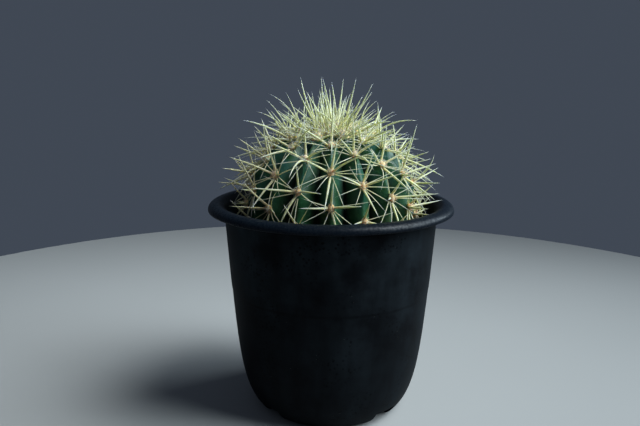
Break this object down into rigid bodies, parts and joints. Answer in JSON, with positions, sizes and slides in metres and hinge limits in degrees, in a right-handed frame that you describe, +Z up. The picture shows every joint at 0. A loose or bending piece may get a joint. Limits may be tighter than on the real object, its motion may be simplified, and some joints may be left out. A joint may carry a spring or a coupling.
{
  "type": "potted round cactus",
  "caption": "Round ribbed barrel cactus with long pale spines and a woolly crown, growing in a tapered black plastic nursery pot with a rolled lip.",
  "frame": {"origin": "on the pot's axis, at the surface that the foot ring stands on", "axes": "+Z up along the pot's axis; -Y is the front that the picture shows, with +X to its right"},
  "size_m": [0.18, 0.18, 0.2459],
  "materials": {
    "pot": "satin",
    "soil": "matte",
    "cactus": "satin",
    "crown": "matte"
  },
  "bodies": {
    "root": {"pot": "pot", "soil": "soil", "cactus": "cactus", "crown": "crown"}
  },
  "joints": []
}
